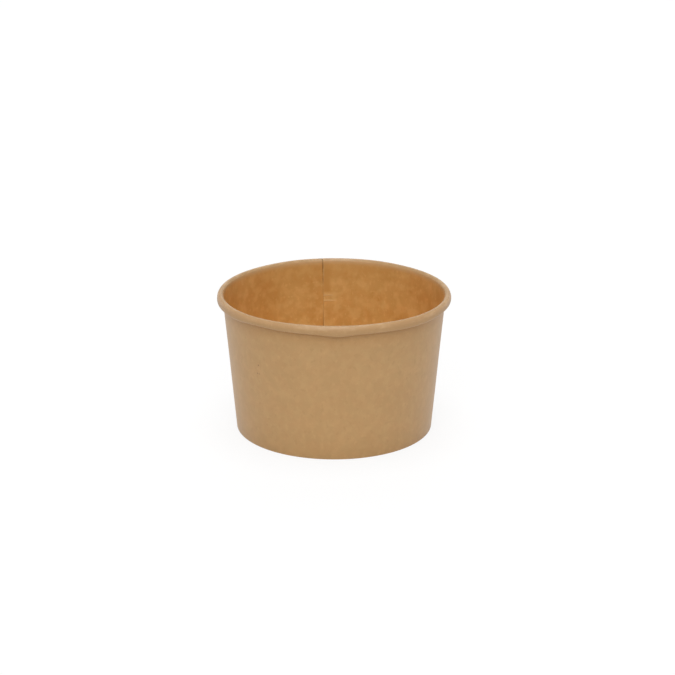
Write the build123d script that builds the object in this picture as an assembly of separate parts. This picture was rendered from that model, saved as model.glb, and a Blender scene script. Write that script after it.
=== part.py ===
from build123d import *
import math
import os

# Paper ice cream tub: a wrapped side wall with a lapped seam, a rolled rim and a folded foot,
# and a pressed base disc. Millimetres, +Z up, origin at the middle of the foot, seam at the back (+Y).

# Overall sizes
rim_diameter = 96.0
tub_height = 58.2
foot_diameter = 81.4

# Board and glue line
wall_board = 0.36
base_board = 0.32
glue_gap = 0.03

# Rolled rim: radii of its outer face over the top and down the side, the angle above level where they meet,
# height of the whole roll, and the end of the board turned up inside it with its gap beside a lapped wall
rim_roll = 1.16
rim_side = 2.6
rim_shoulder = 39.0
rim_height = 3.4
rim_tail = 0.8
tuck_gap = 0.06

# Foot: inner radius of the folded corners, and how far the folded hem stops short of the base's bend
fold_corner = 0.08
hem_clearance = 0.8

# Base disc: its height above the table, and the outer radius of the bend into its skirt
base_recess = 6.0
base_bend = 0.9

# Seam: lap width and the ramp beside it, both at the mouth, and where the inner layer's cut edge stands
seam_lap = 6.4
seam_ramp = 2.2
seam_azimuth = 96.0

quarter_turn = 90.0
half_turn = 180.0
full_turn = 360.0

# Wall line: the common tangent of the foot's outer corner and the rim's roll, on the wall's inner face
corner_r = foot_diameter / 2 - wall_board - fold_corner
corner_z = wall_board + fold_corner
shoulder = math.radians(rim_shoulder)
roll_r = rim_diameter / 2 - rim_side + (rim_side - rim_roll) * math.cos(shoulder)
roll_z = tub_height - rim_roll
span = math.hypot(roll_r - corner_r, roll_z - corner_z)
tangent_offset = rim_roll + fold_corner
lean = math.atan2(roll_r - corner_r, roll_z - corner_z) - math.asin(tangent_offset / span)
lean_degrees = math.degrees(lean)
wall_run = math.sqrt(span**2 - tangent_offset**2)
mouth_radius = roll_r - rim_roll * math.cos(lean)

# Rim's tuck: the turn that touches the side's curve from inside, the rim's lowest level and the tail's line.
# Drop and offset are the distances of level and tail from the centre of the side's curve. A turn that touches
# both has its centre at reach + slope * radius, and touching the curve makes this a quadratic in the radius.
side_drop = rim_height - rim_roll - (rim_side - rim_roll) * math.sin(shoulder)
tail_offset = 2 * wall_board + tuck_gap - rim_roll + (rim_side - rim_roll) * math.cos(shoulder + lean)
tuck_reach = (tail_offset - side_drop * math.sin(lean)) / math.cos(lean)
tuck_slope = (1 + math.sin(lean)) / math.cos(lean)
half_linear = tuck_reach * tuck_slope + rim_side - side_drop
constant = tuck_reach**2 + side_drop**2 - rim_side**2
rim_tuck = (math.sqrt(half_linear**2 - constant * tuck_slope**2) - half_linear) / tuck_slope**2
rim_flank = math.degrees(math.asin((side_drop - rim_tuck) / (rim_side - rim_tuck)))

# Base: its skirt runs down beside the wall to the foot's fold, with the hem turned up inside it
base_top = base_recess + base_board
bend_z = base_top - base_bend
skirt_offset = fold_corner - glue_gap - base_bend
bend_r = corner_r + (skirt_offset + (bend_z - corner_z) * math.sin(lean)) / math.cos(lean)
skirt_run = (bend_z - base_bend * math.sin(lean) - corner_z) / math.cos(lean)
hem_run = (bend_z - hem_clearance - corner_z) / math.cos(lean)
hem_slot = base_board + 2 * glue_gap
foot_flat = (hem_slot - 2 * fold_corner) / math.cos(lean)

lap_degrees = math.degrees(seam_lap / mouth_radius)
ramp_degrees = math.degrees(seam_ramp / mouth_radius)


def aim(degrees):
    """Unit vector of a heading in the section plane, counted from the radial direction."""
    return Vector(math.cos(math.radians(degrees)), math.sin(math.radians(degrees)))


def board_line(path, depth):
    """Edges of the line at one depth below a board's face, which follows straight runs and tangent turns.

    A move is (length, 0) for a run, or (radius, degrees) for a turn, left turns positive.
    The board is on the right.
    """
    start, heading, moves = path
    point = start + aim(heading - quarter_turn) * depth
    edges = []
    for size, turn in moves:
        if turn == 0:
            end = point + aim(heading) * size
            edges.append(Line(point, end))
        else:
            side = math.copysign(1, turn)
            radius = size + side * depth
            outward = heading - side * quarter_turn
            centre = point - aim(outward) * radius
            end = centre + aim(outward + turn) * radius
            edges.append(ThreePointArc(point, centre + aim(outward + turn / 2) * radius, end))
            heading += turn
        point = end
    return edges


def board_section(path, top, bottom):
    """Face of a board's section between two depths below its path."""
    upper = board_line(path, top)
    lower = board_line(path, bottom)
    first_cut = Line(upper[0] @ 0, lower[0] @ 0)
    last_cut = Line(upper[-1] @ 1, lower[-1] @ 1)
    return (Plane.XZ * make_face(upper + [last_cut] + lower + [first_cut])).face()


def wall_path():
    """Inner face of the wall's board, from the hem's cut edge round the foot and up to its end in the rim."""
    up_the_wall = aim(quarter_turn - lean_degrees)
    away_from_wall = aim(half_turn - lean_degrees)
    inner_corner = Vector(corner_r - foot_flat, corner_z)
    start = inner_corner + away_from_wall * fold_corner + up_the_wall * hem_run
    moves = [
        (hem_run, 0),
        (fold_corner, quarter_turn + lean_degrees),
        (foot_flat, 0),
        (fold_corner, quarter_turn - lean_degrees),
        (wall_run, 0),
        (rim_roll, lean_degrees + rim_shoulder - half_turn),
        (rim_side, -rim_shoulder - rim_flank),
        (rim_tuck, rim_flank - lean_degrees - half_turn),
        (rim_tail, 0),
    ]
    return start, -quarter_turn - lean_degrees, moves


def base_path():
    """Upper face of the base's board, from the axis out to the bend and down the outside of the skirt."""
    moves = [(bend_r, 0), (base_bend, -quarter_turn - lean_degrees), (skirt_run, 0)]
    return Vector(0, base_top), 0, moves


def turned(shape, azimuth):
    return Rot(0, 0, azimuth) * shape


def side_wall():
    """One wrapped board: one layer all round, two in the lap, and a ramp where the outer one steps out."""
    path = wall_path()
    single = board_section(path, 0, wall_board)
    lapped = board_section(path, 0, 2 * wall_board)
    stepped_out = board_section(path, wall_board, 2 * wall_board)
    ramp_end = seam_azimuth + ramp_degrees
    lap_start = seam_azimuth - lap_degrees
    wrap = turned(revolve(single, Axis.Z, full_turn - lap_degrees - ramp_degrees), ramp_end)
    lap = turned(revolve(lapped, Axis.Z, lap_degrees), lap_start)
    ramp = loft([turned(stepped_out, seam_azimuth), turned(single, ramp_end)], ruled=True)
    # The foot is pressed level, so the lap's outer layer is squeezed flush with the table there.
    below_table = Box(rim_diameter, rim_diameter, tub_height, align=(Align.CENTER, Align.CENTER, Align.MAX))
    return wrap + lap + ramp - below_table


def base_disc():
    """Pressed disc with its edge turned down into a skirt."""
    return revolve(board_section(base_path(), 0, base_board), Axis.Z, full_turn)


os.makedirs("parts", exist_ok=True)
export_step(side_wall(), "parts/side_wall.step")
export_step(base_disc(), "parts/base_disc.step")
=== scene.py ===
import math

import bmesh
import bpy
from mathutils import Matrix, Vector, noise


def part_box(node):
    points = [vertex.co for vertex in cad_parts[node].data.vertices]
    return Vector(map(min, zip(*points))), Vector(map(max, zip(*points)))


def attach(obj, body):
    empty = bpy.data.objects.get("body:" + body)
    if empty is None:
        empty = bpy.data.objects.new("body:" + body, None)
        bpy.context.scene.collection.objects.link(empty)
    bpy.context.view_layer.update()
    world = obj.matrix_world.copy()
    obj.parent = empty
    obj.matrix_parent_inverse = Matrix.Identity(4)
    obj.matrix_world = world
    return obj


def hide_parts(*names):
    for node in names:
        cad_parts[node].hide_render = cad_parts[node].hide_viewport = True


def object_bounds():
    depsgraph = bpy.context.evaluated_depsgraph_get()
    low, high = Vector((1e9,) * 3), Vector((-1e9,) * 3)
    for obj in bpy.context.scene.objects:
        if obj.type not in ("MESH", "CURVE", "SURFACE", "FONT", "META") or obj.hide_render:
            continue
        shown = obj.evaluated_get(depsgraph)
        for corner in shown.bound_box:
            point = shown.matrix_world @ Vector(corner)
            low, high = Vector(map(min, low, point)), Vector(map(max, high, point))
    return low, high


mm = 0.001

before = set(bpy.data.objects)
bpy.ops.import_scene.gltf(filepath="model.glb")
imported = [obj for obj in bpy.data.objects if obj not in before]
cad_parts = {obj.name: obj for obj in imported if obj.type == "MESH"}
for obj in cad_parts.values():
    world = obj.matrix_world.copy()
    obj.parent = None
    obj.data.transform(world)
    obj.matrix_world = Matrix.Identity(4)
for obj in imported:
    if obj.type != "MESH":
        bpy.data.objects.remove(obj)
cadLow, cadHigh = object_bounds()
rimRadius = cadHigh.x
tubHeight = cadHigh.z
print("frame loaded:", ", ".join(sorted(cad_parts)))

scene = bpy.context.scene
scene.view_settings.view_transform = "Standard"


class Wire:
    # a shader socket that adds its own Math nodes when it is used in a sum
    def __init__(self, tree, socket=None):
        self.tree = tree
        self.socket = socket

    def node(self, kind, settings, links, output=0):
        made = self.tree.nodes.new(kind)
        for name, value in settings.items():
            setattr(made, name, value)
        for name, value in links.items():
            socket = next(s for s in made.inputs if name in (s.identifier, s.name))
            if isinstance(value, Wire):
                self.tree.links.new(value.socket, socket)
            else:
                socket.default_value = value
        return Wire(self.tree, made.outputs[output] if made.outputs else None)

    def sum(self, operation, first, second=0.0):
        links = {"Value": first, "Value_001": second}
        return self.node("ShaderNodeMath", {"operation": operation}, links)

    def __add__(self, other):
        return self.sum("ADD", self, other)

    def __radd__(self, other):
        return self.sum("ADD", other, self)

    def __sub__(self, other):
        return self.sum("SUBTRACT", self, other)

    def __rsub__(self, other):
        return self.sum("SUBTRACT", other, self)

    def __mul__(self, other):
        return self.sum("MULTIPLY", self, other)

    def __rmul__(self, other):
        return self.sum("MULTIPLY", other, self)

    def __abs__(self):
        return self.sum("ABSOLUTE", self)

    def between(self, low, high):
        # 0 at low, 1 at high, eased and held at both ends
        settings = {"interpolation_type": "SMOOTHSTEP"}
        links = {"Value": self, "From Min": low, "From Max": high}
        return self.node("ShaderNodeMapRange", settings, links)

    def band(self, low, high, rise, fall):
        # 1 between low and high, eased in just above low and out just above high
        return self.between(low, low + rise) * (1 - self.between(high, high + fall))

    def mixed(self, first, second, blend="MIX"):
        # two colours, with this value as the share of the second
        settings = {"data_type": "RGBA", "blend_type": blend}
        links = {"Factor_Float": self, "A_Color": first, "B_Color": second}
        return self.node("ShaderNodeMix", settings, links, 2)

    def vector(self, operation, other, output=0):
        links = {"Vector": self, "Vector_001": other}
        return self.node("ShaderNodeVectorMath", {"operation": operation}, links, output)

    def axis(self, index):
        return self.node("ShaderNodeSeparateXYZ", {}, {"Vector": self}, index)

    def attribute(self, name):
        return self.node("ShaderNodeAttribute", {"attribute_name": name}, {}, 2)

    def noise(self, size, detail=2.0, roughness=0.5, output=0):
        # size is the length of one wave, the same on all axes or one for each
        sizes = size if isinstance(size, tuple) else (size,) * 3
        scaled = self.vector("DIVIDE", sizes)
        links = {"Vector": scaled, "Scale": 1.0, "Detail": detail, "Roughness": roughness}
        return self.node("ShaderNodeTexNoise", {}, links, output)


def ease(value, low, high):
    # the same easing as Wire.between, for plain numbers
    share = min(max((value - low) / (high - low), 0.0), 1.0)
    return share * share * (3.0 - 2.0 * share)


# Side wall: one board from the hem's cut edge, round the foot, up the wall, over the rim and up inside it.
sideWall = {
    "footRadius": 40.7 * mm,
    "board": 0.36 * mm,
    "fold": 0.08 * mm,  # inner radius of the folds at the foot
    "hemTop": 4.62 * mm,
    "hemSlot": 0.38 * mm,  # room between wall and hem for the base's skirt
    # radii of the rim over the mouth, down its side and under it, and the angle where the side starts
    "rimRoll": 1.16 * mm,
    "rimSide": 2.6 * mm,
    "rimTuck": 0.965 * mm,
    "rimShoulder": 39.0,
    "rimHeight": 3.4 * mm,
    "rimTail": 0.8 * mm,  # straight end inside the roll
    # rows of faces along each run of the board, and columns along each stretch of the round
    "rows": {
        "hem": 3, "fold": 6, "foot": 1, "lowWall": 14, "creasedWall": 28, "highWall": 8,
        "roll": 14, "side": 10, "tuck": 12, "tail": 1,
    },
    "columns": {"lap": 18, "ramp": 8, "plain": 376, "innerLap": 20},
    # seam at the back: lap, ramp beside it, and where the inner layer's cut edge stands
    "lap": 6.4 * mm,
    "ramp": 2.2 * mm,
    "seamAzimuth": 96.0,
    # heights between which the cut edge is pressed nearly flush, how far, and the fade at both ends
    "flushZone": (29.8 * mm, 46.0 * mm),
    "flushShare": 0.62,
    "flushFade": 3.0 * mm,
    # heights over which it is pressed flush for the rim, and the least thickness left of the inner layer
    "rimFlush": (54.0 * mm, 56.0 * mm),
    "thinnest": 0.04 * mm,
    # creases pressed into the lap: height, reach from the cut edge, rise, half width
    "creases": (
        (42.2 * mm, 4.6 * mm, 0.07 * mm, 0.65 * mm),
        (39.8 * mm, 6.3 * mm, 0.10 * mm, 0.60 * mm),
    ),
    "creaseZone": (38.6 * mm, 44.2 * mm),
    "creaseFade": 0.6,  # share of the reach at which a crease starts to die out
    # dips of the rim's lower edge: azimuth, half width in degrees, drop
    "rimDips": (
        (235.0, 60.0, 0.42 * mm),
        (272.0, 5.4, 0.64 * mm),
        (314.0, 13.0, 0.28 * mm),
        (244.0, 15.0, -0.34 * mm),
        (229.0, 9.0, -0.48 * mm),
    ),
    # where the painted shade on the wall under the rim starts below the rim's lower edge, and how far down
    # it fades
    "underRimShadeStart": 0.3 * mm,
    "underRimShadeReach": 10.0 * mm,
    # heights over which the rim's own moves and its colour come in, the colour measured from the roll
    "rimRise": (48.0 * mm, 54.0 * mm),
    "rimColour": (-1.9 * mm, 0.2 * mm),
    # how far the rim is out of round, and how close its waves are
    "rimWave": 0.10 * mm,
    "rimWaveRate": 2.6,
    # how much lower the rim is at its two sides, and the shares of the radius over which that comes in
    "rimSaddle": 0.24 * mm,
    "saddleSpan": (0.30, 0.75),
    # waves of the wall: depth, how close they are round it and up it, and where they start and end
    "wallWave": 0.10 * mm,
    "wallWaveRate": (1.8, 45.0),
    "waveStart": (8.0 * mm, 14.0 * mm),
    "waveEnd": (50.0 * mm, 54.0 * mm),
    # depth of the pressed foot, where the lap's two layers are squeezed to one
    "footPress": 0.5 * mm,
}


def aim(degrees):
    # headings in the XZ plane, where X is the radius
    return Vector((math.cos(math.radians(degrees)), 0.0, math.sin(math.radians(degrees))))


def wallLine(size):
    # the wall's inner face is the common tangent of the foot's corner and the rim's roll
    cornerR = size["footRadius"] - size["board"] - size["fold"]
    cornerZ = size["board"] + size["fold"]
    shoulder = math.radians(size["rimShoulder"])
    inward = size["rimSide"] - size["rimRoll"]
    rollR = rimRadius - size["rimSide"] + inward * math.cos(shoulder)
    rollZ = tubHeight - size["rimRoll"]
    span = math.hypot(rollR - cornerR, rollZ - cornerZ)
    offset = size["rimRoll"] + size["fold"]
    lean = math.atan2(rollR - cornerR, rollZ - cornerZ) - math.asin(offset / span)
    drop = size["rimHeight"] - size["rimRoll"] - inward * math.sin(shoulder)
    footFlat = (size["hemSlot"] - 2 * size["fold"]) / math.cos(lean)
    hemRun = (size["hemTop"] - cornerZ) / math.cos(lean)
    hemFoot = Vector((cornerR - footFlat, 0.0, cornerZ)) + aim(180.0 - math.degrees(lean)) * size["fold"]
    mouth = rollR - size["rimRoll"] * math.cos(lean)
    flank = math.asin((drop - size["rimTuck"]) / (size["rimSide"] - size["rimTuck"]))
    wallRun = math.sqrt(span**2 - offset**2)
    wallStart = hemRun + size["fold"] * math.pi + footFlat
    rollStart = wallStart + wallRun
    sideStart = rollStart + size["rimRoll"] * (math.pi - lean - shoulder)
    return {
        "lean": math.degrees(lean),
        "wallRun": wallRun,
        "wallFoot": cornerZ - size["fold"] * math.sin(lean),
        "flank": math.degrees(flank),
        "footFlat": footFlat,
        "hemRun": hemRun,
        "start": hemFoot + aim(90.0 - math.degrees(lean)) * hemRun,
        "mouth": mouth,
        "lapTurn": math.degrees(size["lap"] / mouth),
        "rampTurn": math.degrees(size["ramp"] / mouth),
        # board length from the hem's cut edge to the wall, the rim's roll, its side and its tuck
        "wallStart": wallStart,
        "rollStart": rollStart,
        "sideStart": sideStart,
        "tuckStart": sideStart + size["rimSide"] * (shoulder + flank),
    }


wall = wallLine(sideWall)
sheetTurn = 360.0 + wall["lapTurn"]
sheetEnd = math.radians(sheetTurn) * wall["mouth"] / mm  # the inner layer's cut edge on the flat board
startAzimuth = sideWall["seamAzimuth"] - wall["lapTurn"]
print("wall leans", round(wall["lean"], 2), "degrees, mouth", round(2 * wall["mouth"] / mm, 1), "mm")


def onSheet(azimuth, height):
    # the place on the flat board, in millimetres, of a point on the wall
    u = math.radians((azimuth - startAzimuth) % 360.0) * wall["mouth"]
    v = wall["wallStart"] + (height - wall["wallFoot"]) / math.cos(math.radians(wall["lean"]))
    return (u / mm, v / mm, 0.0)


def upSheet(height):
    # how far up the flat board a height on the wall is
    return onSheet(0.0, height)[1]


# Kraft board. The "sheet" map is in millimetres, round the tub and then up the flat board.
outsideBoard = {
    "pale": (0.562, 0.334, 0.136, 1.0),
    "deep": (0.492, 0.283, 0.108, 1.0),
    "fibre": (0.68, 0.46, 0.24, 1.0),
    "shive": (0.26, 0.14, 0.05, 1.0),
    "cloud": 12.0,
    "patch": (3.2, 3.8, 1.0),
    "fleck": (2.0, 2.6, 1.0),
    # shares of cloud, patch, pale flecks and dark smudges in the tone
    "shares": (0.25, 0.34, 0.32, 0.50),
    # dark specks: azimuth, height, radius
    "specks": (
        (226.8, 37.0 * mm, 0.34 * mm),
        (225.6, 33.3 * mm, 0.28 * mm),
        (227.0, 33.3 * mm, 0.23 * mm),
    ),
    # shift of the noises, so that the two faces differ
    "sheetOffset": (411.0, 73.0, 0.0),
}
insideBoard = {
    "pale": (0.712, 0.434, 0.152, 1.0),
    "deep": (0.585, 0.304, 0.080, 1.0),
    "fibre": (0.70, 0.46, 0.20, 1.0),
    "shive": (0.26, 0.13, 0.04, 1.0),
    "cloud": 14.0,
    "patch": (4.3, 4.6, 1.0),
    "fleck": (1.4, 1.8, 1.0),
    "shares": (0.42, 0.50, 0.45, 0.20),
    "specks": (),
    "sheetOffset": (0.0, 0.0, 0.0),
}
# what both faces share: each range is where a noise starts to show and where it shows fully
kraft = {
    "cloudRange": (0.34, 0.66),
    "patchRange": (0.42, 0.66),
    "fleckRange": (0.64, 0.76),
    "fleckOffset": (57.0, 31.0, 0.0),
    "smudgeOffset": (83.0, 11.0, 0.0),
    "grain": 0.38,
    "grainShare": 0.25,
    "plainTone": 0.10,
    # slow changes of hue
    "hueSize": 5.0,
    "hueRange": (0.36, 0.64),
    "rosy": (1.008, 0.996, 0.995, 1.0),
    "olive": (0.992, 1.004, 1.005, 1.0),
    # fibres: size, width and gate of the lines, and how strongly they show
    "lightHairs": (1.8, 0.016, 0.50),
    "lightShare": 0.14,
    "darkHairs": (2.4, 0.012, 0.56),
    "darkShare": 0.10,
    "darkOffset": (37.0, 91.0, 0.0),
    # how the lines bend and break: sizes as shares of the line's own, bend in millimetres, fade of the gate
    "bendSize": 0.45,
    "bend": (0.9, 0.9, 0.0),
    "gateSize": 0.6,
    "gateFade": 0.08,
    # stray specks: cells to a millimetre, radius as a share of a cell, which cells have one, and share
    "strayScale": 0.16,
    "strayRadius": (0.015, 0.035),
    "strayPick": (0.88, 0.92),
    "strayShare": 0.5,
    # placed specks: the fade as shares of the radius, and share
    "speckFade": (0.4, 1.4),
    "speckShare": 0.9,
    # bump of grain, patches, flecks and light fibres, and its strength and depth
    "bumpShares": (0.6, 0.3, 0.2, 0.25),
    "bumpStrength": 0.35,
    "bumpDepth": 0.06 * mm,
    "roughness": 0.42,
    "roughChange": 0.20,
    "specular": 0.5,
}
cutEdge = {
    "pale": (0.62, 0.41, 0.20, 1.0),
    "deep": (0.46, 0.28, 0.12, 1.0),
    "fibre": 0.25 * mm,
    "fibreRange": (0.3, 0.7),
    "bumpStrength": 0.6,
    "bumpDepth": 0.08 * mm,
    "roughness": 0.8,
}


def hairs(sheet, size, width, gate):
    # thin broken lines where a warped noise crosses its middle
    warp = sheet.noise(size * kraft["bendSize"], 2.0, 0.6, 1)
    links = {"Vector": warp, "Vector_001": kraft["bend"], "Vector_002": sheet}
    bent = sheet.node("ShaderNodeVectorMath", {"operation": "MULTIPLY_ADD"}, links)
    line = 1 - abs(bent.noise(size, 0.0) - 0.5).between(0.0, width)
    return line * sheet.noise(size * kraft["gateSize"], 1.0).between(gate, gate + kraft["gateFade"])


def freshTree(name):
    material = bpy.data.materials.new(name)
    material.use_nodes = True
    material.node_tree.nodes.clear()
    return material, Wire(material.node_tree)


# Marks beside the seam on the inside: widths and fades in millimetres, and how strongly each shows.
# A value that ends in Whole is the share of the width or reach at which a mark is at its full strength.
seamMarks = {
    "paleEdge": 0.50,
    "paleWhole": 0.6,
    "paleShare": 0.65,
    # the dark line beside the cut edge is painted shadow in the groove
    "darkLine": 0.40,
    "darkStart": 0.05,
    "darkShare": 0.65,
    # both are broken up, and fade where the edge is pressed flush
    "flushLoss": 0.75,
    "brokenSize": (6.0, 2.5, 1.0),
    "brokenRange": (0.40, 0.60),
    "brokenLeast": 0.4,
    # the painted shadow line is darkest above this height
    "notchHeight": 52.0 * mm,
    "notchFade": 2.5,
    "notchShare": 0.6,
    # darker strip of the lap above the creases
    "stainZone": (42.6 * mm, 53.0 * mm),
    "stain": 4.2,
    "stainWhole": 0.5,
    "stainFade": 2.0,
    "stainShare": 0.8,
    # paler place round the creases, and painted highlights along them where their ridges catch the light
    "rubbed": 9.0,
    "rubbedWhole": 0.5,
    "rubbedFades": (1.5, 2.0),
    "rubbedSize": (2.4, 1.6, 1.0),
    "rubbedRange": (0.35, 0.65),
    "rubbedShare": 0.7,
    "creaseWidth": (0.1, 0.7),  # fade as shares of a crease's half width
    "creaseWhole": 0.8,
    "creaseShare": 0.7,
}


def seamPaint(place, colour, board, mark):
    across, up = place.axis(0), place.axis(1)
    lapEnd = sideWall["lap"] / mm
    low, high = (upSheet(height) for height in sideWall["flushZone"])
    fade = sideWall["flushFade"] / mm
    flush = up.band(low, high, fade, fade)
    broken = place.noise(mark["brokenSize"], 2.0).between(*mark["brokenRange"])
    least = mark["brokenLeast"]
    shown = (1 - flush * mark["flushLoss"]) * (least + broken * (1.0 - least))

    low, high = (upSheet(height) for height in mark["stainZone"])
    stained = across.between(sheetEnd - mark["stain"], sheetEnd - mark["stainWhole"] * mark["stain"])
    stained = stained * up.band(low, high, mark["stainFade"], mark["stainFade"])
    colour = (stained * mark["stainShare"]).mixed(colour, board["deep"])

    # the cut edge is pale, and the line beside it is painted shadow in the groove
    edge = across.between(sheetEnd - mark["paleEdge"], sheetEnd - mark["paleWhole"] * mark["paleEdge"])
    colour = (edge * shown * mark["paleShare"]).mixed(colour, board["fibre"])
    halfLine = 0.5 * mark["darkLine"]
    grooveShadow = across.band(lapEnd - mark["darkStart"], lapEnd + halfLine, mark["darkStart"], halfLine)
    notchLow = upSheet(mark["notchHeight"])
    notch = up.between(notchLow, notchLow + mark["notchFade"])
    dark = grooveShadow * shown * mark["darkShare"] + grooveShadow * notch * mark["notchShare"]
    colour = dark.mixed(colour, board["shive"])

    low, high = (upSheet(height) for height in sideWall["creaseZone"])
    rise, fall = mark["rubbedFades"]
    rubbed = across.between(sheetEnd - mark["rubbed"], sheetEnd - mark["rubbedWhole"] * mark["rubbed"])
    rubbed = rubbed * up.band(low, high - fall, rise, fall)
    rubbed = rubbed * place.noise(mark["rubbedSize"]).between(*mark["rubbedRange"])
    colour = (rubbed * mark["rubbedShare"]).mixed(colour, board["pale"])
    # painted highlight along each crease's ridge
    thinnest, widest = mark["creaseWidth"]
    for height, reach, _, half in sideWall["creases"]:
        thin = 1 - abs(up - upSheet(height)).between(thinnest * half / mm, widest * half / mm)
        near = across.between(sheetEnd - reach / mm, sheetEnd - mark["creaseWhole"] * reach / mm)
        colour = (thin * near * mark["creaseShare"]).mixed(colour, board["fibre"])
    return colour


# Colours of the rolled rim: its own paler tone, in bands with painted light and shade for how light falls on
# the roll, the lip painted paler and the crest darker. Offsets are in millimetres up the board, from where
# the roll or the side starts.
rimMarks = {
    "lip": (0.645, 0.410, 0.190, 1.0),
    "crest": (0.400, 0.232, 0.090, 1.0),
    "shoulder": (0.470, 0.272, 0.121, 1.0),
    "side": (0.452, 0.260, 0.105, 1.0),
    "lipEnd": (0.0, 1.0),
    "crestEnd": (-0.7, 0.1),
    "shoulderEnd": (0.6, 1.6),
    # rubbed places, and how far the board's own tone shows
    "worn": (0.68, 0.46, 0.255, 1.0),
    "wornSize": (5.0, 2.0, 1.0),
    "wornRange": (0.46, 0.70),
    "wornShare": 0.24,
    "toneMiddle": 0.4,
    "toneShare": 0.2,
    # painted shade: the inside wall is darker just under the roll beside the seam
    "rollShadeStart": (-11.0, -3.0),
    "rollShadeReach": (18.0, 48.0),
    "rollShadeShare": 0.42,
    # painted bounce light: the inside is warmer at its two sides, over these shares of the radius
    "bounceTint": (1.065, 0.995, 0.97, 1.0),
    "bounceTintSpan": (0.40, 1.0),
}


def rimPaint(place, colour, tone, board, mark):
    across, up = place.axis(0), place.axis(1)
    rollAt, sideAt = wall["rollStart"] / mm, wall["sideStart"] / mm
    # the rim's own tone in bands along the roll, with painted light and shade for how light falls on each
    # band
    lip = 1 - up.between(*(rollAt + offset for offset in mark["lipEnd"]))
    crest = 1 - up.between(*(sideAt + offset for offset in mark["crestEnd"]))
    shoulder = 1 - up.between(*(sideAt + offset for offset in mark["shoulderEnd"]))
    shade = shoulder.mixed(mark["side"], mark["shoulder"])
    shade = lip.mixed(crest.mixed(shade, mark["crest"]), mark["lip"])
    worn = place.noise(mark["wornSize"], 1.5).between(*mark["wornRange"])
    paler = (tone - mark["toneMiddle"]) * mark["toneShare"] + worn * shoulder * mark["wornShare"]
    shade = paler.mixed(shade, mark["worn"])

    # painted shade, darkening the inside wall just under the roll near the seam
    fromSeam = place.sum("MINIMUM", across, sheetEnd - across)
    rollShade = up.between(*(rollAt + offset for offset in mark["rollShadeStart"]))
    rollShade = rollShade * (1 - fromSeam.between(*mark["rollShadeReach"])) * mark["rollShadeShare"]
    colour = rollShade.mixed(colour, board["deep"])
    # painted bounce light, warming the inside at its two sides
    turned = across * (mm / wall["mouth"]) + math.radians(startAzimuth)
    sides = abs(place.sum("COSINE", turned)).between(*mark["bounceTintSpan"])
    colour = sides.mixed(colour, mark["bounceTint"], "MULTIPLY")
    return place.attribute("rim").mixed(colour, shade)


# Painted shade on the wall under the rolled rim, where the roll's shadow falls: a wide soft part and a
# narrow one.
underRimShadeMarks = {
    "colour": (0.43, 0.210, 0.055, 1.0),
    "wide": (0.3, 1.0),
    "wideShare": 0.42,
    "narrow": (0.88, 1.0),
    "narrowShare": 0.45,
}


def underRimShadePaint(place, colour, mark):
    # painted shade under the rim, strongest just below its lower edge
    underRimShade = place.attribute("underRimShade")
    wide = underRimShade.between(*mark["wide"]) * mark["wideShare"]
    narrow = underRimShade.between(*mark["narrow"]) * mark["narrowShare"]
    return (wide + narrow).mixed(colour, mark["colour"])


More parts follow.
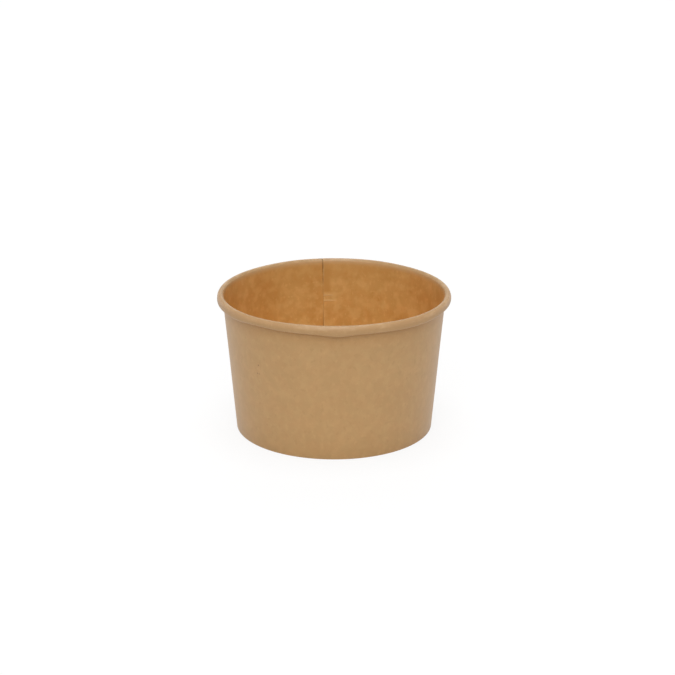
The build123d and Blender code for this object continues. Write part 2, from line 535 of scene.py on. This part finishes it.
def kraftMaterial(name, board, isInside):
    material, start = freshTree(name)
    place = start.node("ShaderNodeUVMap", {"uv_map": "sheet"}, {})
    sheet = place.vector("ADD", board["sheetOffset"])

    cloud = sheet.noise(board["cloud"], 2.0).between(*kraft["cloudRange"])
    patch = sheet.noise(board["patch"], 2.5, 0.55).between(*kraft["patchRange"])
    fleck, smudge = (
        sheet.vector("ADD", offset).noise(board["fleck"], 0.5).between(*kraft["fleckRange"])
        for offset in (kraft["fleckOffset"], kraft["smudgeOffset"])
    )
    grain = sheet.noise(kraft["grain"], 3.0, 0.7)
    cloudShare, patchShare, fleckShare, smudgeShare = board["shares"]
    tone = cloud * cloudShare + patch * patchShare + fleck * fleckShare - smudge * smudgeShare
    tone = tone + (grain - 0.5) * kraft["grainShare"] + kraft["plainTone"]
    colour = tone.mixed(board["deep"], board["pale"])
    hue = sheet.noise(kraft["hueSize"], 1.0).between(*kraft["hueRange"])
    colour = start.node("ShaderNodeMix", {"data_type": "RGBA", "blend_type": "MULTIPLY"}, {
        "Factor_Float": 1.0,
        "A_Color": colour,
        "B_Color": hue.mixed(kraft["rosy"], kraft["olive"]),
    }, 2)
    # the inside takes the rim's colours with their painted light and shade; the outside takes the painted
    # shade under the rim
    if isInside:
        colour = rimPaint(place, colour, tone, board, rimMarks)
    else:
        colour = underRimShadePaint(place, colour, underRimShadeMarks)

    lightHairs = hairs(sheet, *kraft["lightHairs"])
    darkHairs = hairs(sheet.vector("ADD", kraft["darkOffset"]), *kraft["darkHairs"])
    colour = (lightHairs * kraft["lightShare"]).mixed(colour, board["fibre"])
    colour = (darkHairs * kraft["darkShare"]).mixed(colour, board["shive"])

    strayCell = {"Vector": sheet, "Scale": kraft["strayScale"], "Randomness": 1.0}
    strayAway, strayColour = (start.node("ShaderNodeTexVoronoi", {}, strayCell, output) for output in (0, 1))
    picked = start.node("ShaderNodeSeparateColor", {}, {"Color": strayColour}, 0)
    stray = (1 - strayAway.between(*kraft["strayRadius"])) * picked.between(*kraft["strayPick"])
    colour = (stray * kraft["strayShare"]).mixed(colour, board["shive"])
    for azimuth, height, radius in board["specks"]:
        away = place.vector("DISTANCE", onSheet(azimuth, height), 1)
        speck = 1 - away.between(*(share * radius / mm for share in kraft["speckFade"]))
        colour = (speck * kraft["speckShare"]).mixed(colour, board["shive"])
    if isInside:
        colour = seamPaint(place, colour, board, seamMarks)

    grainBump, patchBump, fleckBump, hairBump = kraft["bumpShares"]
    height = grain * grainBump + patch * patchBump + fleck * fleckBump + lightHairs * hairBump
    bump = start.node("ShaderNodeBump", {}, {
        "Strength": kraft["bumpStrength"],
        "Distance": kraft["bumpDepth"],
        "Height": height,
    })
    surface = start.node("ShaderNodeBsdfPrincipled", {}, {
        "Base Color": colour,
        "Roughness": kraft["roughness"] + (grain - 0.5) * kraft["roughChange"],
        "Specular IOR Level": kraft["specular"],
        "Normal": bump,
    })
    start.node("ShaderNodeOutputMaterial", {}, {"Surface": surface})
    return material


def edgeMaterial(name, edge):
    # cut board, with its pressed layers of fibre
    material, start = freshTree(name)
    place = start.node("ShaderNodeTexCoord", {}, {}, 3)
    fibre = place.noise(edge["fibre"], 3.0, 0.7)
    bump = start.node("ShaderNodeBump", {}, {
        "Strength": edge["bumpStrength"],
        "Distance": edge["bumpDepth"],
        "Height": fibre,
    })
    surface = start.node("ShaderNodeBsdfPrincipled", {}, {
        "Base Color": fibre.between(*edge["fibreRange"]).mixed(edge["deep"], edge["pale"]),
        "Roughness": edge["roughness"],
        "Normal": bump,
    })
    start.node("ShaderNodeOutputMaterial", {}, {"Surface": surface})
    return material


boardMaterials = [
    kraftMaterial("insideKraft", insideBoard, True),
    kraftMaterial("outsideKraft", outsideBoard, False),
    edgeMaterial("cutEdge", cutEdge),
]
print("materials made")


# Board lines are drawn in the XZ plane and spun about Z afterwards.
def drawRun(bm, tip, heading, length, steps):
    for step in range(steps):
        tip = bmesh.ops.extrude_vert_indiv(bm, verts=[tip])["verts"][0]
        tip.co += aim(heading) * length / steps
    return tip


def drawTurn(bm, tip, heading, radius, turn, steps):
    side = math.copysign(90.0, turn)
    centre = tip.co + aim(heading + side) * radius
    made = bmesh.ops.spin(bm, geom=[tip], cent=centre, axis=(0.0, -1.0, 0.0),
                          angle=math.radians(turn), steps=steps)
    return next(part for part in made["geom_last"] if isinstance(part, bmesh.types.BMVert))


def drawLine(bm, start, heading, moves):
    # moves are (length, 0, steps) for a run or (radius, degrees, steps) for a turn, left turns positive
    tip = bm.verts.new(start)
    for size, turn, steps in moves:
        if turn:
            tip = drawTurn(bm, tip, heading, size, turn, steps)
            heading += turn
        else:
            tip = drawRun(bm, tip, heading, size, steps)


def measureLine(bm, along):
    # writes each vertex's distance from the first cut edge, and returns how many vertices the line has
    bm.verts.ensure_lookup_table()
    vert, edge, distance = bm.verts[0], None, 0.0
    while vert:
        vert[along] = distance
        edge = next((e for e in vert.link_edges if e is not edge), None)
        vert = edge.other_vert(vert) if edge else None
        distance += edge.calc_length() if edge else 0.0
    return len(bm.verts)


def spinOn(bm, geom, turn, steps, merge=False):
    made = bmesh.ops.spin(bm, geom=geom, cent=(0.0, 0.0, 0.0), axis=(0.0, 0.0, 1.0),
                          angle=math.radians(turn), steps=steps, use_merge=merge)
    return made["geom_last"]


def faceDown(bm, pick):
    # turns the whole sheet so that the picked face points down
    bmesh.ops.recalc_face_normals(bm, faces=bm.faces[:])
    bm.normal_update()
    if pick(bm.faces, key=lambda face: face.calc_center_median().z).normal.z > 0:
        bmesh.ops.reverse_faces(bm, faces=bm.faces[:])
    bm.normal_update()


def giveThickness(bm, depth):
    # doubles the sheet and moves the copy along the board's depth
    sheet = bm.faces[:]
    bm.normal_update()
    made = bmesh.ops.extrude_face_region(bm, geom=sheet, use_keep_orig=True)["geom"]
    for vert in [part for part in made if isinstance(part, bmesh.types.BMVert)]:
        vert.co += vert.normal * vert[depth]
    return [part for part in made if isinstance(part, bmesh.types.BMFace)]


def paintFaces(bm, inner, outer, onFlat):
    # inside, outside and cut edge take their own materials, and onFlat gives the "sheet" map
    sheetMap = bm.loops.layers.uv.new("sheet")
    for face in bm.faces:
        face.material_index = 0 if face in inner else 1 if face in outer else 2
        for loop in face.loops:
            loop[sheetMap].uv = onFlat(loop.vert)


def finishPiece(name, bm, node, spareLayers):
    for layer in spareLayers:
        bm.verts.layers.float.remove(bm.verts.layers.float[layer])
    bmesh.ops.recalc_face_normals(bm, faces=bm.faces[:])
    mesh = bpy.data.meshes.new(name)
    bm.to_mesh(mesh)
    bm.free()
    for material in boardMaterials:
        mesh.materials.append(material)
    mesh.shade_smooth()
    sharpEdge = 40.0  # degrees, above which an edge stays crisp
    mesh.set_sharp_from_angle(angle=math.radians(sharpEdge))
    piece = bpy.data.objects.new(name, mesh)
    scene.collection.objects.link(piece)
    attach(piece, "root")
    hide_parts(node)
    print(name, "has", len(mesh.polygons), "faces")


def wallMoves(size):
    # close rows where the wall is creased, wide ones elsewhere
    low, high = size["creaseZone"]
    slope = math.cos(math.radians(wall["lean"]))
    lowRun = (low - wall["wallFoot"]) / slope
    creaseRun = (high - low) / slope
    rows = size["rows"]
    return [
        (wall["hemRun"], 0, rows["hem"]),
        (size["fold"], 90.0 + wall["lean"], rows["fold"]),
        (wall["footFlat"], 0, rows["foot"]),
        (size["fold"], 90.0 - wall["lean"], rows["fold"]),
        (lowRun, 0, rows["lowWall"]),
        (creaseRun, 0, rows["creasedWall"]),
        (wall["wallRun"] - lowRun - creaseRun, 0, rows["highWall"]),
        (size["rimRoll"], wall["lean"] + size["rimShoulder"] - 180.0, rows["roll"]),
        (size["rimSide"], -size["rimShoulder"] - wall["flank"], rows["side"]),
        (size["rimTuck"], wall["flank"] - wall["lean"] - 180.0, rows["tuck"]),
        (size["rimTail"], 0, rows["tail"]),
    ]


def lapDepth(size, turned, height):
    # how far out the lap's outer layer lies: a whole board under the lap, then less along the ramp
    low, high = size["flushZone"]
    fade = size["flushFade"]
    flush = ease(height, low, low + fade) * (1.0 - ease(height, high, high + fade))
    flush = max(flush, ease(height, *size["rimFlush"]))
    start = wall["lapTurn"] - size["flushShare"] * flush * wall["rampTurn"]
    return size["board"] * (1.0 - ease(turned, start, start + wall["rampTurn"]))


def rimDrop(size, azimuth):
    # how far the rim's lower edge hangs below its plain height
    drop = 0.0
    for dip, half, depth in size["rimDips"]:
        away = abs((azimuth - dip + 180.0) % 360.0 - 180.0)
        drop += depth * (1.0 - ease(away, 0.0, 2.0 * half))
    return drop


def shapeWall(bm, size, along, around, depth, underRimShade):
    roundRate, upRate = size["wallWaveRate"]
    for vert in bm.verts:
        azimuth = startAzimuth + vert[around]
        ring = Matrix.Rotation(math.radians(azimuth), 3, "Z") @ Vector((1.0, 0.0, 0.0))
        height = vert.co.z
        wallShare = ease(height, *size["waveStart"]) * (1.0 - ease(height, *size["waveEnd"]))

        # the sheet's first stretch is the lap's outer layer, and steps back in along the ramp
        outward = lapDepth(size, vert[around], height)
        vert[depth] = size["board"]
        wave = noise.noise(ring * roundRate + Vector((0.0, 0.0, upRate * height)))
        outward += size["wallWave"] * wallShare * wave
        fromEdge = math.radians(sheetTurn - vert[around]) * wall["mouth"]
        if fromEdge < size["lap"]:
            vert[depth] = max(lapDepth(size, vert[around] - 360.0, height), size["thinnest"])
            for creaseHeight, reach, rise, half in size["creases"]:
                across = 1.0 - ease(abs(height - creaseHeight), 0.0, half)
                outward -= rise * across * (1.0 - ease(fromEdge, size["creaseFade"] * reach, reach))
        vert.co += vert.normal * outward

        # the rim is a little out of round, lower at its sides, and its lower edge rises and falls
        rimShare = ease(height, *size["rimRise"])
        wave = 0.5 + 0.5 * noise.noise(ring * size["rimWaveRate"])
        vert.co -= ring * size["rimWave"] * rimShare * wave
        vert.co.z -= size["rimSaddle"] * rimShare * ease(abs(ring.x), *size["saddleSpan"])
        drop = rimDrop(size, azimuth)
        vert.co.z -= drop * ease(vert[along], wall["sideStart"], wall["tuckStart"])
        # share of painted shade under the rim at this vertex, fading down the wall from the rim's lower edge
        fromRim = tubHeight - size["rimHeight"] - drop - size["underRimShadeStart"] - height
        vert[underRimShade] = max(0.0, 1.0 - fromRim / size["underRimShadeReach"])


def pressFoot(bm, size, around):
    # the foot's fold is squeezed where the lap doubles it, so that it stands flat
    depth = size["footPress"]
    for vert in bm.verts:
        outerLap = 1.0 - ease(vert[around], wall["lapTurn"], wall["lapTurn"] + wall["rampTurn"])
        innerLap = ease(vert[around], 360.0 - wall["rampTurn"], 360.0)
        if vert.co.z < depth:
            press = size["board"] * max(outerLap, innerLap)
            vert.co.z = (vert.co.z + press) * depth / (depth + press)


def buildSideWall(size):
    bm = bmesh.new()
    # layers: along the board, round it, its depth, the rim's colour share, and the share of painted shade
    # under the rim
    names = ("along", "around", "depth", "rim", "underRimShade")
    along, around, depth, rim, underRimShade = (bm.verts.layers.float.new(name) for name in names)
    drawLine(bm, wall["start"], -90.0 - wall["lean"], wallMoves(size))
    rows = measureLine(bm, along)
    turnToSeam = Matrix.Rotation(math.radians(startAzimuth), 3, "Z")
    bmesh.ops.rotate(bm, verts=bm.verts[:], cent=(0.0, 0.0, 0.0), matrix=turnToSeam)

    # close columns at the seam, and the rest of the round in even steps
    steps = size["columns"]
    stretches = (
        (wall["lapTurn"], steps["lap"]),
        (wall["rampTurn"], steps["ramp"]),
        (360.0 - wall["lapTurn"] - wall["rampTurn"], steps["plain"]),
        (wall["lapTurn"], steps["innerLap"]),
    )
    columns = [0.0]
    last = bm.verts[:] + bm.edges[:]
    for turn, count in stretches:
        last = spinOn(bm, last, turn, count)
        columns += [columns[-1] + turn * (step + 1) / count for step in range(count)]
    low, high = (wall["rollStart"] + offset for offset in size["rimColour"])
    for index, vert in enumerate(bm.verts):
        vert[around] = columns[index // rows]
        vert[rim] = ease(vert[along], low, high)
    faceDown(bm, min)
    shapeWall(bm, size, along, around, depth, underRimShade)

    inner = set(bm.faces)
    outer = set(giveThickness(bm, depth))
    pressFoot(bm, size, around)
    paintFaces(bm, inner, outer, lambda vert: (
        math.radians(vert[around]) * wall["mouth"] / mm,
        vert[along] / mm,
    ))
    finishPiece("wrapped_wall", bm, "side_wall", ("depth", "around", "along"))


buildSideWall(sideWall)


# Base: a disc with its edge turned down into a skirt, pressed slightly hollow.
baseDisc = {
    "board": 0.32 * mm,
    "bend": 0.9 * mm,  # radius of the turned edge
    "skirtEnd": 0.44 * mm,  # height of the skirt's cut edge
    "sag": 0.3 * mm,
    "rows": {"disc": 20, "bend": 10, "skirt": 3},
    "columns": 192,
    "mergeDistance": 0.001 * mm,
    # middle of the disc on the flat board, clear of the side wall's seam
    "sheetPlace": (150.0, 150.0),
}


def buildBase(size):
    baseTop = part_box("base_disc")[1].z
    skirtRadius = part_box("base_disc")[1].x
    leanAngle = math.radians(wall["lean"])
    bendZ = baseTop - size["bend"]
    bendR = skirtRadius - size["bend"]
    skirtRun = (bendZ - size["bend"] * math.sin(leanAngle) - size["skirtEnd"]) / math.cos(leanAngle)
    rows = size["rows"]
    bm = bmesh.new()
    along, depth = (bm.verts.layers.float.new(name) for name in ("along", "depth"))
    drawLine(bm, Vector((0.0, 0.0, baseTop)), 0.0, [
        (bendR, 0, rows["disc"]),
        (size["bend"], -90.0 - wall["lean"], rows["bend"]),
        (skirtRun, 0, rows["skirt"]),
    ])
    measureLine(bm, along)
    spinOn(bm, bm.verts[:] + bm.edges[:], 360.0, size["columns"], True)
    bmesh.ops.remove_doubles(bm, verts=bm.verts[:], dist=size["mergeDistance"])
    for vert in bm.verts:
        vert[depth] = size["board"]
        share = vert[along] / bendR
        if share < 1.0:
            vert.co.z -= size["sag"] * (1.0 - share * share) ** 2
    faceDown(bm, max)

    inner = set(bm.faces)
    outer = set(giveThickness(bm, depth))
    middle = Vector(size["sheetPlace"])
    paintFaces(bm, inner, outer, lambda vert: vert.co.to_2d().normalized() * vert[along] / mm + middle)
    finishPiece("pressed_base", bm, "base_disc", ("depth", "along"))


buildBase(baseDisc)


# Studio: a white floor and surround, and soft lamps above the camera, above the back and overhead.
studio = {
    "floorSize": 8.0,
    "white": (1.0, 1.0, 1.0, 1.0),
    # what the floor and the surround give to the object
    "floorColour": (0.91, 0.91, 0.91, 1.0),
    "surround": 0.25,
    "floorGlow": 0.85,
    # azimuth, elevation, spread, power
    "lamps": {
        "front": (-3.0, 43.0, 36.0, 1.10),
        "back": (180.0, 48.0, 36.0, 0.40),
        "top": (0.0, 88.0, 36.0, 1.50),
    },
}


def shownRays(start):
    # 1 for rays that show the background itself, 0 for rays that only gather light
    camera, glossy, through = (start.node("ShaderNodeLightPath", {}, {}, name)
                               for name in ("Is Camera Ray", "Is Glossy Ray", "Is Transmission Ray"))
    return start.sum("MAXIMUM", start.sum("MAXIMUM", camera, glossy), through)


def buildStudio(size):
    world = bpy.data.worlds.new("whiteSurround")
    scene.world = world
    world.use_nodes = True
    world.node_tree.nodes.clear()
    start = Wire(world.node_tree)
    strength = shownRays(start) * (1.0 - size["surround"]) + size["surround"]
    glow = start.node("ShaderNodeBackground", {}, {"Color": size["white"], "Strength": strength})
    start.node("ShaderNodeOutputWorld", {}, {"Surface": glow})

    bm = bmesh.new()
    bmesh.ops.create_grid(bm, x_segments=1, y_segments=1, size=size["floorSize"] / 2)
    mesh = bpy.data.meshes.new("floor")
    bm.to_mesh(mesh)
    bm.free()
    floor = bpy.data.objects.new("floor", mesh)
    scene.collection.objects.link(floor)
    paint, start = freshTree("floorPaint")
    shown = shownRays(start)
    floorColour = shown.mixed(size["floorColour"], size["white"])
    matt = start.node("ShaderNodeBsdfDiffuse", {}, {"Color": floorColour})
    white = start.node("ShaderNodeEmission", {}, {"Color": size["white"]})
    links = {"Fac": shown * size["floorGlow"], "Shader": matt, "Shader_001": white}
    mixed = start.node("ShaderNodeMixShader", {}, links)
    start.node("ShaderNodeOutputMaterial", {}, {"Surface": mixed})
    mesh.materials.append(paint)

    for name, (azimuth, elevation, spread, power) in size["lamps"].items():
        lamp = bpy.data.lights.new(name, "SUN")
        lamp.angle = math.radians(spread)
        lamp.energy = power
        holder = bpy.data.objects.new(name, lamp)
        tilt = math.radians(elevation)
        turn = Matrix.Rotation(math.radians(azimuth), 3, "Z")
        away = turn @ Vector((0.0, -math.cos(tilt), math.sin(tilt)))
        holder.location = away
        holder.rotation_mode = "QUATERNION"
        holder.rotation_quaternion = (-away).to_track_quat("-Z", "Y")
        scene.collection.objects.link(holder)
    print("studio lit")


buildStudio(studio)


# Camera at the photograph's viewing angle.
shot = {
    "elevation": 19.41,
    "distance": 768 * mm,
    "lens": 98.72,
    "shift": (0.0050, 0.0292),
}


def buildCamera(size):
    data = bpy.data.cameras.new("camera")
    data.lens = size["lens"]
    data.shift_x, data.shift_y = size["shift"]
    camera = bpy.data.objects.new("camera", data)
    tilt = math.radians(size["elevation"])
    back = Vector((0.0, -math.cos(tilt), math.sin(tilt)))
    camera.location = Vector((0.0, 0.0, tubHeight / 2)) + back * size["distance"]
    camera.rotation_euler = (math.pi / 2 - tilt, 0.0, 0.0)
    scene.collection.objects.link(camera)
    scene.camera = camera
    print("camera set")


buildCamera(shot)
